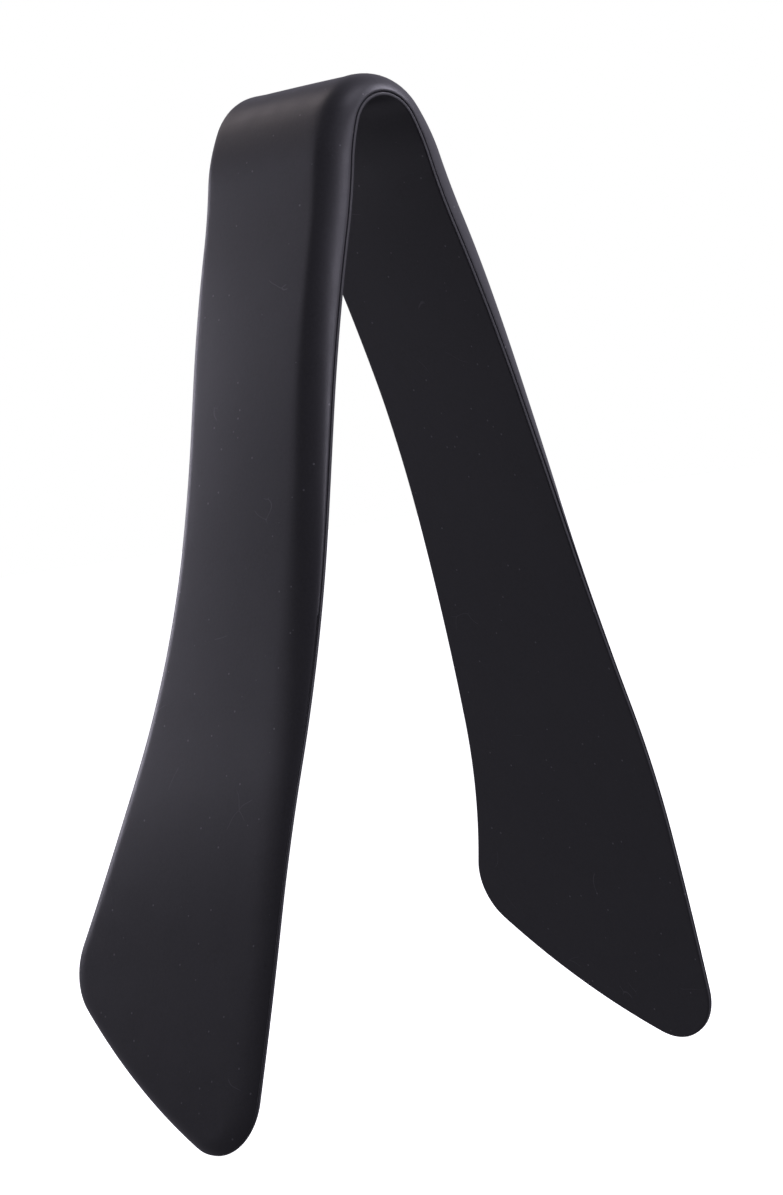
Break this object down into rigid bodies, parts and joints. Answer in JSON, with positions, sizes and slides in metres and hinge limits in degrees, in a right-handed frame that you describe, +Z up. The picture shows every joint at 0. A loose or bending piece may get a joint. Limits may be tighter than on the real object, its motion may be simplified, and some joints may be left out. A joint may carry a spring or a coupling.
{
  "type": "spring loaded kitchen tongs",
  "caption": "One-piece spring tongs: a broad silicone-covered band bent over a bow into mirrored arms that end in slanted, slightly bowed paddles.",
  "frame": {"origin": "centre of the bounding box's base, on the surface that both paddle tips stand on, midway between the arms", "axes": "+X from the left arm to the right arm, the direction in which they open; +Y across the band, from the tips' side to the heels' side; +Z up to the bow"},
  "size_m": [0.1674, 0.0754, 0.25],
  "materials": {
    "cover_silicone": "satin",
    "liner_silicone": "satin",
    "spring_steel": "brushed"
  },
  "bodies": {
    "bow": {"outer_cover_bow": "cover_silicone", "inner_liner_bow": "liner_silicone", "spring_strip_bow": "spring_steel"},
    "left_arm": {"outer_cover_left": "cover_silicone", "inner_liner_left": "liner_silicone", "spring_strip_left": "spring_steel"},
    "right_arm": {"outer_cover_right": "cover_silicone", "inner_liner_right": "liner_silicone", "spring_strip_right": "spring_steel"}
  },
  "joints": [
    {"name": "right_flex", "type": "hinge", "parent": "bow", "child": "right_arm", "pos_m": [0.01883, 0, 0.22123], "axis": [0, 1, 0], "range_deg": [-4, 20], "stiffness_Nm_per_rad": 2.5, "deforming": ["outer_cover_bow", "inner_liner_bow", "spring_strip_bow"]},
    {"name": "left_flex", "type": "hinge", "parent": "bow", "child": "left_arm", "pos_m": [-0.01883, 0, 0.22123], "axis": [0, -1, 0], "range_deg": [-4, 20], "stiffness_Nm_per_rad": 2.5, "deforming": ["outer_cover_bow", "inner_liner_bow", "spring_strip_bow"]}
  ],
  "couplings": [
    {"joint": "left_flex", "follows": "right_flex", "ratio": 1}
  ]
}
